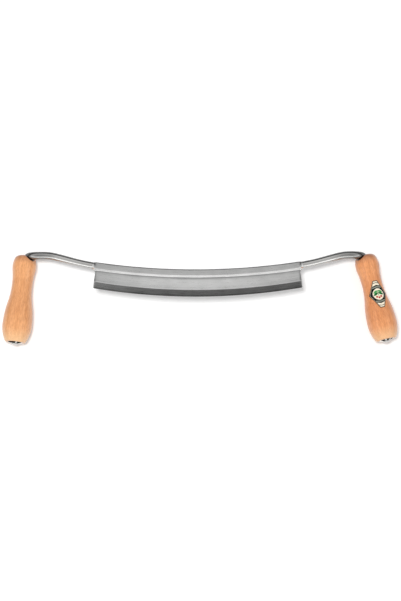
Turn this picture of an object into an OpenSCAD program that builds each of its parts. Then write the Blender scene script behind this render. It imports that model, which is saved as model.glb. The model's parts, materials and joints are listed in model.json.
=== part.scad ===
// Curved drawknife: one forging with a bowed, stepped blade, two bent arms and two tangs, which
// run through turned beech handles and are peened over their end caps. It lies at rest on its
// two handles, with the cutting edge lifted, on the plane z = 0. +X runs along the blade, -Y
// points along the handles towards the user, and the origin is the middle of its footprint.

/* [Blade] */
// Half the length of the blade, at its shoulders
blade_half = 111.4; // [100:0.2:120]
// Width of the blade at its middle, from the back to the cutting edge
blade_w = 31.5; // [27:0.1:34]
// Plan radius of the back
back_r = 620; // [600:5:700]
// Plan radius of the cutting edge, which bows a little more than the back
edge_r = 564; // [550:2:600]
// Thickness of the back
back_t = 7; // [6.4:0.1:7.4]
// Width of the flat land along the back
land_w = 8.5; // [7.5:0.1:10]
// Width of the slope that steps down from the land
step_w = 1.4; // [1:0.1:2]
// Thickness at the foot of the step
body_t = 4.3; // [4:0.1:4.8]
// Thickness at the top of the bevel
bevel_t = 3.4; // [3:0.1:3.8]
// Depth of the hollow ground between the step and the bevel
hollow = 0.35; // [0.1:0.05:0.6]
// Angle of the bevel to the underside
bevel_angle = 25; // [22:0.5:30]
// Thickness left at the cutting edge
edge_t = 0.15; // [0.1:0.05:0.3]
// Chamfer along both edges of the back
back_chamfer = 1; // [0.3:0.1:1.4]
// How far each end of the blade flares out, from its shoulder to the cutting edge
end_flare = 2.6; // [1:0.2:4]
// Radius of the shoulder between the end of the blade and the arm
shoulder_r = 5; // [3:0.5:7]

/* [Arms] */
// Radius of the arm where it leaves the blade
root_r = 3.9; // [3.6:0.05:4.1]
// Radius of the arm at its crown and elbow
arm_r = 4.25; // [3.8:0.05:4.6]
// Angle at which the arm leaves the blade, seen square to the blade
root_angle = 11.6; // [9:0.2:14]
// Steepest angle of the arm on its way up to the crown
rise_angle = 17.2; // [15:0.2:20]
// Length of the left arm's straight stretch between its lower bend and its crown
left_rise = 19.2; // [14:0.2:26]
// Length of the right arm's straight stretch, which was bent a little sooner
right_rise = 17.2; // [14:0.2:26]
// Bend radius low on the arm
rise_r = 260; // [200:5:320]
// Bend radius of the crown
crown_r = 50; // [40:1:62]
// Straight length of the left arm, from its crown to where it dips
left_crown = 5.3; // [0.5:0.1:8]
// Straight length of the right arm, from its crown to where it dips
right_crown = 0.5; // [0.3:0.1:6]
// Height of the left crown above the elbow
arm_drop = 9.5; // [9:0.1:13]
// Angle at which the arm dips to the handle
drop_angle = 45; // [42:1:55]
// Radius inside the elbow, where the arm turns into its tang
elbow_inside = 3.75; // [3.2:0.05:4]

/* [Tangs] */
// Radius of the tang where it passes through the cap
tang_r = 2.75; // [2.2:0.05:3.2]
// Length of the straight end of the tang, under the cap
tang_straight = 22; // [10:1:40]
// Radius of the peened head
head_r = 3.9; // [3.6:0.1:4.6]
// Height of the peened head
head_h = 1.3; // [0.9:0.1:1.6]

/* [Handles] */
// Length of the wood
handle_l = 96.3; // [92:0.1:98]
// Length of wood beyond the middle of the elbow, which covers the bend
end_cover = 1; // [0:0.1:1.5]
// Largest radius of the bead at the blade's end of the handle
bead_r = 13; // [12.4:0.1:13.8]
// Profile radius of the bead
bead_curve = 25; // [20:1:30]
// Round-over of the end face
end_round = 6; // [4:0.5:7]
// Radius of the waist
waist_r = 11.1; // [10.5:0.1:11.6]
// Distance of the waist from the end face
waist_at = 33; // [31:0.5:36]
// Profile radius of the waist
waist_curve = 90; // [80:2:110]
// Largest radius of the belly
belly_r = 16; // [15.4:0.1:16.8]
// Distance of the belly from the cap's end of the wood
belly_back = 19; // [16:0.5:22]
// Profile radius from the belly to the cap
tail_curve = 38; // [34:1:44]
// Round-over of the lip around the cap
lip_round = 2; // [1:0.25:2.5]
// Outward splay of the left handle
left_splay = 5.9; // [3:0.1:10]
// Outward splay of the right handle, bent a little further by hand
right_splay = 12.9; // [8:0.1:15]
// Gap between the arm and the saddle worn for it in the wood
saddle_gap = 1; // [0.4:0.05:1.2]
// Gap between the tang and its bore
tang_gap = 0.3; // [0.2:0.05:0.5]

/* [Caps] */
// Radius of the cap
cap_r = 8; // [7:0.1:8.6]
// Thickness of the cap at its rim
cap_t = 1.2; // [0.9:0.1:1.6]
// Height of the cap's crown above its rim
cap_crown = 1.5; // [1:0.1:2]
// Depth of the seat turned in the wood for the cap
seat_depth = 1.2; // [0.8:0.1:1.8]
// Gap around the cap in its seat
seat_gap = 0.3; // [0.2:0.05:0.5]
// Gap under the cap, and under the peened head
rest_gap = 0.1; // [0.1:0.05:0.3]

/* [Label] */
// Length of the label
label_l = 31; // [26:0.5:34]
// Width of the label across its middle
label_w = 19; // [16:0.5:20]
// Width of the label's cut ends
label_end_w = 5; // [3:0.5:7]
// Distance of the label's middle from the end face
label_at = 47; // [43:0.5:50]
// Turn of the label about the handle, away from the top
label_turn = 10; // [0:1:20]
// Thickness of the label
label_t = 0.2; // [0.15:0.05:0.3]
// Gap under the label
label_gap = 0.1; // [0.05:0.05:0.15]

/* [Rest] */
// Tilt of the blade, edge upwards, as the tool lies on its handles
blade_tilt = 26.5; // [22:0.5:30]

/* [Hidden] */
$fn = 96;
ring_fn = 720;
profile_step = 3;
swell = 0.06;
lap = 0.5;
steel = "#a9abac";
beech = "#e8ac7c";
nickel = "#d9dadb";
paper = "#1f3a2c";

function unit(v) = v / norm(v);

// A point of the blade's own frame, which is flat and level, as it lies when the blade is tilted
function tilted(p) = [
    p[0],
    p[1] * cos(blade_tilt) + p[2] * sin(blade_tilt),
    p[2] * cos(blade_tilt) - p[1] * sin(blade_tilt)
];

// Points on an arc, with the angle a step of about profile_step degrees
function arc_points(c, r, from, to) =
    let (n = max(2, ceil(abs(to - from) / profile_step)))
    [for (i = [0 : n]) let (a = from + (to - from) * i / n) c + r * [cos(a), sin(a)]];

// Points from p to q on a shallow arc that sinks by sag in the middle, with both ends left out
function sag_points(p, q, sag, n = 8) =
    [for (i = [1 : n - 1]) let (t = i / n) p + t * (q - p) - [0, 4 * sag * t * (1 - t)]];

// Handle profile, as distance from the end face against radius. Each curve is tangent to the
// next: round-over, bead, waist, belly, tail and lip.
belly_at = handle_l - belly_back;
bead_at = waist_at - sqrt(pow(waist_curve + bead_curve, 2)
    - pow(waist_r + waist_curve - bead_r + bead_curve, 2));
belly_curve = (pow(belly_at - waist_at, 2) + pow(belly_r - waist_r, 2))
    / (2 * (belly_r - waist_r)) - waist_curve;
bead_c = [bead_at, bead_r - bead_curve];
waist_c = [waist_at, waist_r + waist_curve];
belly_c = [belly_at, belly_r - belly_curve];
tail_c = [belly_at, belly_r - tail_curve];
round_c = [end_round, bead_c[1] + sqrt(pow(bead_curve - end_round, 2) - pow(bead_at - end_round, 2))];
lip_at = handle_l - lip_round;
lip_c = [lip_at, tail_c[1] + sqrt(pow(tail_curve - lip_round, 2) - pow(lip_at - belly_at, 2))];
round_to = atan2(round_c[1] - bead_c[1], round_c[0] - bead_c[0]);
bead_to = atan2(waist_c[1] - bead_c[1], waist_c[0] - bead_c[0]);
waist_to = atan2(belly_c[1] - waist_c[1], belly_c[0] - waist_c[0]) + 360;
lip_from = atan2(lip_c[1] - tail_c[1], lip_c[0] - tail_c[0]);

function profile_points(grow) = concat(
    arc_points(round_c, end_round + grow, 180, round_to),
    arc_points(bead_c, bead_curve + grow, round_to, bead_to),
    arc_points(waist_c, waist_curve - grow, bead_to + 180, waist_to),
    arc_points(belly_c, belly_curve + grow, waist_to - 180, 90),
    arc_points(tail_c, tail_curve + grow, 90, lip_from),
    arc_points(lip_c, lip_round + grow, lip_from, 0)
);

// The handle lies on its bead and its belly, so its axis climbs by the slope of their common
// tangent, and the middle of its end face is this high
bead_to_belly = belly_c - bead_c;
incline = asin((belly_curve - bead_curve) / norm(bead_to_belly))
    - atan2(-bead_to_belly[1], bead_to_belly[0]);
end_height = bead_curve - bead_c[0] * sin(incline) + bead_c[1] * cos(incline);
elbow_height = end_height + end_cover * sin(incline);

function handle_axis(splay) = [
    sin(splay) * cos(incline),
    -cos(splay) * cos(incline),
    sin(incline)
];

// Corners of the arm's centre line on the right-hand side: root, lower bend, crown, dip, elbow
// and the tang's end. The crown stays level with the blade, and the dip is straight outwards.
root_x = blade_half + 0.6;
root_y = back_r - sqrt(pow(back_r, 2) - pow(root_x, 2)) - root_r;
rise_cut = rise_r * tan((rise_angle - root_angle) / 2);
crown_cut = crown_r * tan(rise_angle / 2);
rise_at = [root_x, root_y] + rise_cut * [cos(root_angle), sin(root_angle)];
function crown_at(rise) = rise_at + (rise_cut + rise + crown_cut) * [cos(rise_angle), sin(rise_angle)];
function crown_height(rise) = tilted([0, crown_at(rise)[1], root_r])[2];
blade_rise = elbow_height + arm_drop - crown_height(left_rise);

// What each bend takes of its two legs. The dip's bend takes what the elbow leaves, but for a
// short straight stretch.
elbow_r = arm_r + elbow_inside;
dip_way = [cos(drop_angle), 0, -sin(drop_angle)];
dip_straight = 0.4;
function elbow_cut(splay) = elbow_r * tan(acos(dip_way * handle_axis(splay)) / 2);
function dip_cut(drop, splay) = drop / sin(drop_angle) - elbow_cut(splay) - dip_straight;

function placed(p) = tilted(p) + [0, 0, blade_rise];
function arm_corners(rise, crown, splay) =
    let (drop = blade_rise + crown_height(rise) - elbow_height)
    let (flat = crown_cut + crown + dip_cut(drop, splay))
    let (top = crown_at(rise))
    let (dip = placed([top[0] + flat, top[1], root_r]))
    let (elbow = [dip[0] + drop / tan(drop_angle), dip[1], elbow_height])
    [
        placed([root_x, root_y, root_r]),
        placed([rise_at[0], rise_at[1], root_r]),
        placed([top[0], top[1], root_r]),
        dip,
        elbow,
        elbow + (handle_l - end_cover - tang_straight) * handle_axis(splay)
    ];

left_corners = arm_corners(left_rise, left_crown, left_splay);
right_corners = arm_corners(right_rise, right_crown, right_splay);

// Middle of the handle's end face
function end_face(k) = k[4] - end_cover * unit(k[5] - k[4]);

// Caps and heads, as distances from the handle's end face
cap_base = handle_l - seat_depth + rest_gap;
cap_dome_r = (pow(cap_r, 2) + pow(cap_crown, 2)) / (2 * cap_crown);
cap_top = cap_base + cap_t + cap_crown;
head_base = cap_top + rest_gap - pow(tang_r, 2) / (2 * cap_dome_r);
head_dome_r = (pow(head_r, 2) + pow(head_h, 2)) / (2 * head_h);
head_top = head_base + head_h;

// Outermost reach of the whole tool, from which the origin is put in the middle of the footprint
function side_reach(corners, splay) =
    let (a = handle_axis(splay)[0])
    end_face(corners)[0] + belly_at * a + tail_c[1] * sqrt(1 - a * a) + tail_curve;
function front_reach(corners, splay) =
    end_face(corners)[1] + (head_top - head_dome_r) * handle_axis(splay)[1] - head_dome_r;
middle_x = (side_reach(right_corners, right_splay) - side_reach(left_corners, left_splay)) / 2;
front_y = min(front_reach(right_corners, right_splay), front_reach(left_corners, left_splay));
back_y = left_corners[3][1] + arm_r;
home = [-middle_x, -(front_y + back_y) / 2, 0];

// Puts its children at point p with their z axis along d and their x axis as near u as may be
module aim(p, d, u) {
    z = unit(d);
    x = unit(u - (u * z) * z);
    y = cross(z, x);
    multmatrix([
        [x[0], y[0], z[0], p[0]],
        [x[1], y[1], z[1], p[1]],
        [x[2], y[2], z[2], p[2]],
        [0, 0, 0, 1]
    ]) children();
}

// A straight leg of round bar from p to q, less what its end bends take. It runs a little way
// into the bend, which has swollen by as much as it was hammered round.
module leg(p, q, cut_p, cut_q, r_p, r_q) {
    d = unit(q - p);
    aim(p + (cut_p - lap) * d, d, abs(d[2]) > 0.9 ? [1, 0, 0] : [0, 0, 1])
        cylinder(h = norm(q - p) - cut_p - cut_q + 2 * lap, r1 = r_p, r2 = r_q);
}

// The bend of radius r in round bar of radius bar at corner b, between legs a-b and b-c
module bend(a, b, c, r, bar) {
    u = unit(b - a);
    v = unit(c - b);
    axis = unit(cross(u, v));
    half = acos(u * v) / 2;
    inward = cross(axis, u);
    aim(b - r * tan(half) * u + r * inward, axis, -inward)
        rotate_extrude(angle = 2 * half)
            translate([r, 0])
                circle(r = bar + swell);
}

// The dip, the elbow and the tang, thicker all round by arm_more and tang_more. The wood is
// cut with the same shape as the forging, thicker by its gaps.
module lower_arm(k, splay, arm_more, tang_more) {
    bar = arm_r + arm_more;
    cut = dip_cut(k[3][2] - k[4][2], splay);
    bend(k[2], k[3], k[4], cut / tan(drop_angle / 2), bar);
    leg(k[3], k[4], cut, elbow_cut(splay), bar, bar);
    bend(k[3], k[4], k[5], elbow_r, bar);
    leg(k[4], k[5], elbow_cut(splay), 0, bar, tang_r + swell + tang_more);
    axis = unit(k[5] - k[4]);
    aim(k[5], axis, [0, 0, 1])
        cylinder(h = head_base + head_h / 4 - handle_l + tang_straight, r = tang_r + tang_more);
}

module upper_arm(k, splay) {
    bend(k[0], k[1], k[2], rise_r, root_r);
    leg(k[1], k[2], rise_cut, crown_cut, root_r, arm_r);
    bend(k[1], k[2], k[3], crown_r, arm_r);
    leg(k[2], k[3], crown_cut, dip_cut(k[3][2] - k[4][2], splay), arm_r, arm_r);
}

// The head that the tang's end was peened into, a low dome
module peened_head(k) {
    axis = unit(k[5] - k[4]);
    aim(end_face(k) + head_base * axis, axis, [0, 0, 1])
        intersection() {
            cylinder(h = head_h + 1, r = head_r);
            translate([0, 0, head_h - head_dome_r])
                sphere(r = head_dome_r);
        }
}

// Section of the blade, as distance from the centre of its plan curve against height: back,
// land, step, hollow, and the flat below
module blade_section() {
    c = back_chamfer;
    foot = [land_w + step_w, body_t];
    top_of_bevel = [blade_w - bevel_t / tan(bevel_angle), bevel_t];
    past = [blade_w + 3, bevel_t];
    points = concat(
        [[0, c], [0, back_t - c], [c, back_t], [land_w, back_t], foot],
        sag_points(foot, top_of_bevel, hollow),
        [top_of_bevel, past, [past[0], 0], [c, 0]]
    );
    translate([back_r, 0])
        polygon(points);
}

// The curved bar that the blade is ground from, wider than the blade
module blade_bar() {
    sweep = 11.5;
    translate([0, back_r, 0])
        rotate([0, 0, -90 - sweep])
            rotate_extrude(angle = 2 * sweep, $fn = ring_fn)
                blade_section();
}

// What the bevel grinds away: all that lies above a cone that meets the underside along the edge
module bevel_cut() {
    sweep = 14;
    depth = 20;
    translate([0, edge_r - blade_w, 0])
        rotate([0, 0, -90 - sweep])
            rotate_extrude(angle = 2 * sweep, $fn = ring_fn)
                translate([edge_r, 0])
                    polygon([
                        [-depth, edge_t + depth * tan(bevel_angle)],
                        [0, edge_t],
                        [0, -1],
                        [depth, -1],
                        [depth, edge_t + depth * tan(bevel_angle)]
                    ]);
}

// Centre of the shoulder's round, tangent to the blade's end and to the arm's inner side
shoulder_x = blade_half + shoulder_r;
shoulder_y = root_y + (shoulder_x - root_x) * tan(root_angle)
    - (root_r + shoulder_r) / cos(root_angle);
web_x = shoulder_x - shoulder_r * sin(root_angle);
web_top = root_y + (web_x - root_x) * tan(root_angle);

module blade_plan() {
    front = -2 * blade_w;
    slope = end_flare / (blade_w - root_y);
    wide = blade_half + slope * (shoulder_y - front);
    stock_x = root_x + 1.4;
    half = [[wide, front], [blade_half, shoulder_y], [stock_x, shoulder_y], [stock_x, 2 * blade_w]];
    other = [for (i = [len(half) - 1 : -1 : 0]) [-half[i][0], half[i][1]]];
    translate([0, 0, -1])
        linear_extrude(back_t + 2)
            polygon(concat(half, other));
}

// The web that fills the corner between the blade's end and the arm
module shoulder_web() {
    linear_extrude(root_r + 0.6)
        polygon([
            [blade_half - 2, shoulder_y],
            [web_x, shoulder_y],
            [web_x, web_top],
            [blade_half - 2, web_top]
        ]);
}

module blade() {
    color(steel)
        translate(home) {
            translate([0, 0, blade_rise])
                rotate([-blade_tilt, 0, 0])
                    difference() {
                        union() {
                            intersection() {
                                blade_bar();
                                blade_plan();
                            }
                            for (side = [0, 1])
                                mirror([side, 0, 0])
                                    shoulder_web();
                        }
                        bevel_cut();
                        for (side = [-1, 1])
                            translate([side * shoulder_x, shoulder_y, -1])
                                cylinder(h = back_t + 2, r = shoulder_r);
                    }
            arm(right_corners, right_splay);
            mirror([1, 0, 0])
                arm(left_corners, left_splay);
        }
}

module arm(k, splay) {
    upper_arm(k, splay);
    lower_arm(k, splay, 0, 0);
    peened_head(k);
}

// The turned wood, with the seat for its cap
module turned_handle() {
    outline = profile_points(0);
    seat_r = cap_r + seat_gap;
    rotate_extrude()
        polygon(concat(
            [[0, 0]],
            [for (p = outline) [p[1], p[0]]],
            [[seat_r, handle_l], [seat_r, handle_l - seat_depth], [0, handle_l - seat_depth]]
        ));
}

module handle(k, splay) {
    color(beech)
        difference() {
            aim(end_face(k), unit(k[5] - k[4]), [0, 0, 1])
                turned_handle();
            lower_arm(k, splay, saddle_gap, tang_gap);
        }
}

module left_handle() {
    translate(home)
        mirror([1, 0, 0])
            handle(left_corners, left_splay);
}

module right_handle() {
    translate(home)
        handle(right_corners, right_splay);
}

// A cap with a flat rim and a low crown, bored for the tang
module end_cap(k) {
    color(nickel)
        aim(end_face(k) + cap_base * unit(k[5] - k[4]), unit(k[5] - k[4]), [0, 0, 1])
            difference() {
                intersection() {
                    cylinder(h = cap_t + cap_crown + 1, r = cap_r);
                    translate([0, 0, cap_t + cap_crown - cap_dome_r])
                        sphere(r = cap_dome_r);
                }
                translate([0, 0, -1])
                    cylinder(h = cap_t + cap_crown + 2, r = tang_r + tang_gap);
            }
}

module left_end_cap() {
    translate(home)
        mirror([1, 0, 0])
            end_cap(left_corners);
}

module right_end_cap() {
    translate(home)
        end_cap(right_corners);
}

// A thin film of the handle's own profile, between two distances from the wood
module profile_film(inner, outer) {
    rotate_extrude()
        polygon(concat(
            [for (p = profile_points(inner)) [p[1], p[0]]],
            [let (out = profile_points(outer)) for (i = [len(out) - 1 : -1 : 0]) [out[i][1], out[i][0]]]
        ));
}

// The label: a long hexagon laid over the wood
module handle_label() {
    k = right_corners;
    half_l = label_l / 2;
    half_w = label_w / 2;
    half_end = label_end_w / 2;
    color(paper)
        translate(home)
            aim(end_face(k), unit(k[5] - k[4]), [0, 0, 1])
                rotate([0, 0, -label_turn])
                    intersection() {
                        profile_film(label_gap, label_gap + label_t);
                        translate([0, 0, label_at])
                            rotate([0, 90, 0])
                                linear_extrude(2 * belly_r)
                                    polygon([
                                        [-half_l, -half_end], [0, -half_w], [half_l, -half_end],
                                        [half_l, half_end], [0, half_w], [-half_l, half_end]
                                    ]);
                    }
}

blade();
left_handle();
right_handle();
left_end_cap();
right_end_cap();
handle_label();
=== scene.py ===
import json
import math

import bmesh
import bpy
import numpy as np
from mathutils import Matrix


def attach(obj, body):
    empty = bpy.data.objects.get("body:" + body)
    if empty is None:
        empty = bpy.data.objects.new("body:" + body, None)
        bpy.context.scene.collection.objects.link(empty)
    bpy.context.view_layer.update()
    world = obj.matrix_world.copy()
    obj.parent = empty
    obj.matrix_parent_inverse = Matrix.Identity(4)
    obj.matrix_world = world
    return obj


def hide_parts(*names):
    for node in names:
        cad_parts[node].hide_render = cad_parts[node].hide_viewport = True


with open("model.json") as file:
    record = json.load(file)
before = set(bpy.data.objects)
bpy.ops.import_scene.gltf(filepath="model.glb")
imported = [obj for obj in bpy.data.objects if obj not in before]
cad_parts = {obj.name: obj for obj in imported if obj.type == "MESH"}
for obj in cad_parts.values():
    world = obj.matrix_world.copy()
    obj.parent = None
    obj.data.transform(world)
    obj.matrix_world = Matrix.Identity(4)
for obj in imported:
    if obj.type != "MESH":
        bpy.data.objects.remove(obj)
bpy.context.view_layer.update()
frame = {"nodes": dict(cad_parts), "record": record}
scene = bpy.context.scene
print("frame loaded:", sorted(frame["nodes"]))

mm = 0.001  # the tool's lengths are in millimetres, and a mesh is made in metres


# Small helpers

def linearColour(hexText):  # sRGB hex to linear light, with alpha 1
    srgb = np.array([int(hexText[i:i + 2], 16) / 255 for i in (1, 3, 5)])
    linear = np.where(srgb <= 0.04045, srgb / 12.92, ((srgb + 0.055) / 1.055) ** 2.4)
    return (*linear, 1.0)


# Sources for a node's sockets, by name or number: each is a socket, or a node for its first output
def link(tree, node, sources):
    for key, source in sources.items():
        socket = source if isinstance(source, bpy.types.NodeSocket) else source.outputs[0]
        tree.links.new(socket, node.inputs[key])


# One node: settings are sockets by name or number, attributes when the key starts with a dot, or
# the points of its curve. MapRange takes its range in 1 and 2 and gives 3 and 4, and Mix takes its
# factor in 0 and its sides in 2 and 3, or 6 and 7 for colours.
def addNode(tree, kind, settings=None, sources=None):
    node = tree.nodes.new("ShaderNode" + kind)
    for key, value in (settings or {}).items():
        if key == "curve":
            node.mapping.use_clip = False  # it may pass 1
            points = node.mapping.curves[0].points
            points[0].location, points[1].location = value[0], value[-1]
            for at, level in value[1:-1]:
                points.new(at, level)
            node.mapping.update()
        elif isinstance(key, str) and key.startswith("."):
            setattr(node, key[1:], value)
        else:
            node.inputs[key].default_value = value
    link(tree, node, sources or {})
    return node


def unit(v):
    v = np.asarray(v, float)
    return v / np.linalg.norm(v, axis=-1, keepdims=True)


def smoothStep(t):
    t = np.clip(t, 0, 1)
    return t * t * (3 - 2 * t)


def along(points):  # distance along a line of points
    return np.concatenate([[0], np.cumsum(np.linalg.norm(np.diff(points, axis=0), axis=1))])


def gridFaces(rows, columns, closed=True):  # quads of a grid whose columns may wrap round
    r = np.arange(rows - 1)[:, None]
    c = np.arange(columns if closed else columns - 1)[None, :]
    n = (c + 1) % columns
    return np.stack([r * columns + c, r * columns + n, (r + 1) * columns + n, (r + 1) * columns + c], -1)


def tubeFaces(rows, columns):  # with a face over each end
    ends = [list(range(columns)), list(range((rows - 1) * columns, rows * columns))]
    return gridFaces(rows, columns).reshape(-1, 4).tolist() + ends


def fullTurn(count):  # so many angles, evenly spaced
    return np.linspace(0, 2 * math.pi, count, endpoint=False)


def spun(turn, x, y):  # the way out at each angle, from x towards y
    return np.cos(turn)[..., None] * x + np.sin(turn)[..., None] * y


def meshFrom(name, points, faces, sharpDegrees=35):  # points in mm, faces as lists of indices
    mesh = bpy.data.meshes.new(name)
    mesh.from_pydata((np.asarray(points) * mm).tolist(), [], faces)
    skin = bmesh.new()
    skin.from_mesh(mesh)
    bmesh.ops.recalc_face_normals(skin, faces=skin.faces)
    skin.to_mesh(mesh)
    skin.free()
    mesh.shade_smooth()
    mesh.set_sharp_from_angle(angle=math.radians(sharpDegrees))
    piece = bpy.data.objects.new(name, mesh)
    scene.collection.objects.link(piece)
    return piece


def applyModifiers(piece, sharpDegrees):  # bakes them into the mesh and shades it smooth again
    layer = bpy.context.evaluated_depsgraph_get()
    made = bpy.data.meshes.new_from_object(piece.evaluated_get(layer))
    piece.modifiers.clear()
    piece.data = made
    made.shade_smooth()
    made.set_sharp_from_angle(angle=math.radians(sharpDegrees))


def perMetre(size):  # how often a pattern of that size, in mm, comes in a metre
    return 1 / (np.asarray(size) * mm)


def meshPoints(mesh):  # vertex places in mm
    flat = np.empty(len(mesh.vertices) * 3)
    mesh.vertices.foreach_get("co", flat)
    return flat.reshape(-1, 3) / mm


def addAttribute(mesh, name, values, kind="FLOAT_VECTOR"):
    layer = mesh.attributes.new(name, kind, "POINT")
    field = "vector" if kind == "FLOAT_VECTOR" else "color"
    layer.data.foreach_set(field, np.asarray(values, np.float32).ravel())


def dress(piece, node, slot, *materials):
    for material in materials:
        piece.data.materials.append(material)
    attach(piece, "root")
    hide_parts(node)


def newMaterial(name, colourHex, metallic, roughness, **others):
    material = bpy.data.materials.new(name)
    material.use_nodes = True
    tree = material.node_tree
    shader = tree.nodes["Principled BSDF"]
    shader.inputs["Base Color"].default_value = linearColour(colourHex)
    shader.inputs["Metallic"].default_value = metallic
    shader.inputs["Roughness"].default_value = roughness
    for key, value in others.items():
        shader.inputs[key.replace("_", " ")].default_value = value
    return material, tree, shader


# Sizes of the whole tool in mm and degrees, those of the CAD model

tool = {
    "bladeHalf": 111.4, "bladeW": 31.5, "backR": 620.0, "edgeR": 564.0, "endFlare": 2.6, "shoulderR": 5.0,
    "rootOut": 0.6, "rootR": 3.9, "armR": 4.25, "rootAngle": 11.6,
    "riseAngle": 17.2, "rise": {"left": 19.2, "right": 17.2}, "riseR": 260.0,
    "crownR": 50.0, "crown": {"left": 5.3, "right": 0.5},
    "dropAngle": 45.0, "elbowInside": 3.75, "dipStraight": 0.4, "endCover": 1.0,
    "splay": {"left": 5.9, "right": 12.9},
    "tangR": 2.75, "tangStraight": 22.0, "taperFrom": 6.0, "headR": 3.9, "headH": 1.3,
}
wood = {
    "length": 96.3, "beadR": 13.0, "beadCurve": 25.0, "endRound": 6.0, "waistR": 11.1,
    "waistAt": 33.0, "waistCurve": 90.0, "bellyR": 16.0, "bellyBack": 19.0, "tailCurve": 38.0,
    "lipRound": 2.0, "lipChamfer": 0.12, "saddleGap": 1.0, "tangGap": 0.3, "columns": 144,
    "cutterPast": 4.0, "cutterStep": 1.6, "cutterColumns": 64,
    "soften": 0.35, "softenAngle": 38.0, "sharpAngle": 50.0,
}
cap = {
    "r": 8.0, "thick": 1.2, "crown": 1.5, "seatDepth": 1.2, "seatGap": 0.3, "restGap": 0.1, "seatRing": 0.6,
    "rim": 0.35, "boreGap": 0.25, "boreRound": 0.2, "boreLip": 0.4, "columns": 128, "sharpAngle": 40.0,
    "nickel": "#e2e0da", "cloudSize": 2.857,
    # Painted shade: black patches along the upper rim, where the seam under the wood's lip is in shade
    "tarnish": "#120e0c", "seamShadeFrom": 4.4, "seamShadeFade": 0.8,
    "patches": {  # first and last angle of each patch from the top, in radians
        "left": ((-1.25, 0.22), (0.42, 1.2)),
        "right": ((-1.05, -0.58), (-0.38, 0.1), (0.35, 0.98))},
    "patchFade": 0.12,
}

# The mount in the record is the middle of the blade's underside, and gives the blade's place and tilt
mount = frame["record"]["mounts"][0]
tilt = math.atan2(-mount["axis"][1], -mount["axis"][2])
bladeY = np.array([0, math.cos(tilt), -math.sin(tilt)])  # from the edge to the back
bladeN = np.array([0, math.sin(tilt), math.cos(tilt)])  # out of the upper side
bladeO = np.array(mount["pos_m"]) / mm + bladeY * tool["bladeW"] / 2  # lower edge of the back, at its middle


def fromBlade(p):  # a point of the level blade, as it lies in the tilted one
    p = np.asarray(p, float)
    return bladeO + p[..., :1] * [1, 0, 0] + p[..., 1:2] * bladeY + p[..., 2:] * bladeN


def fromRight(points, side):  # the left side is the right one turned over in x
    return points * [-1 if side == "left" else 1, 1, 1] + [bladeO[0], 0, 0]


def toRight(points, side):  # and back
    return (points - [bladeO[0], 0, 0]) * [-1 if side == "left" else 1, 1, 1]


# The handle's profile: arcs tangent to each other, as distance from the end face and radius

def handleArcs():
    w = wood
    bellyAt, lipAt = w["length"] - w["bellyBack"], w["length"] - w["lipRound"]
    waistSum, step = w["waistCurve"] + w["beadCurve"], w["bellyR"] - w["waistR"]
    beadAt = w["waistAt"] - math.sqrt(waistSum ** 2 - (w["waistR"] - w["beadR"] + waistSum) ** 2)
    bellyCurve = ((bellyAt - w["waistAt"]) ** 2 + step ** 2) / (2 * step) - w["waistCurve"]
    bead = np.array([beadAt, w["beadR"] - w["beadCurve"]])
    waist = np.array([w["waistAt"], w["waistR"] + w["waistCurve"]])
    belly = np.array([bellyAt, w["bellyR"] - bellyCurve])
    tail = np.array([bellyAt, w["bellyR"] - w["tailCurve"]])
    endRound = bead + [w["endRound"] - beadAt, math.sqrt(
        (w["beadCurve"] - w["endRound"]) ** 2 - (beadAt - w["endRound"]) ** 2)]
    lip = tail + [lipAt - bellyAt, math.sqrt((w["tailCurve"] - w["lipRound"]) ** 2 - (lipAt - bellyAt) ** 2)]
    toward = lambda a, b: math.atan2(b[1] - a[1], b[0] - a[0])
    toRound, toWaist = toward(bead, endRound), toward(bead, waist)
    toBelly, toLip = toward(waist, belly) + math.pi, toward(tail, lip)
    arcs = [  # centre, radius (negative where hollow), first and last angle, points
        (endRound, w["endRound"], math.pi, toRound, 14),
        (bead, w["beadCurve"], toRound, toWaist, 22),
        (waist, -w["waistCurve"], toWaist, toBelly, 48),
        (belly, bellyCurve, toBelly, math.pi / 2, 30),
        (tail, w["tailCurve"], math.pi / 2, toLip, 34),
        (lip, w["lipRound"], toLip, 0, 10),
    ]
    return arcs, bead, belly, bellyCurve


profileArcs, beadCentre, bellyCentre, bellyCurve = handleArcs()


def profilePoints(grow=0.0):  # the profile, or a line a little outside it
    rows = []
    for centre, radius, start, stop, count in profileArcs:
        a = np.linspace(start, stop, count)[(1 if rows else 0):, None]
        rows.append(centre + (radius + grow) * np.hstack([np.cos(a), np.sin(a)]))
    return np.vstack(rows)


# The handle lies on its bead and belly, so its axis climbs by the slope of their common tangent
reach = bellyCentre - beadCentre
incline = (math.asin((bellyCurve - wood["beadCurve"]) / np.linalg.norm(reach))
           - math.atan2(-reach[1], reach[0]))
endHeight = wood["beadCurve"] - beadCentre[0] * math.sin(incline) + beadCentre[1] * math.cos(incline)
elbowHeight = endHeight + tool["endCover"] * math.sin(incline)

# Distances along the handle's axis, from its end face
capBase = wood["length"] - cap["seatDepth"] + cap["restGap"]
capTop = capBase + cap["thick"] + cap["crown"]
capDomeR = (cap["r"] ** 2 + cap["crown"] ** 2) / (2 * cap["crown"])
headBase = capTop + cap["restGap"] - tool["tangR"] ** 2 / (2 * capDomeR)
print("handles climb %.2f degrees, end faces are %.2f mm up" % (math.degrees(incline), endHeight))

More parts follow.
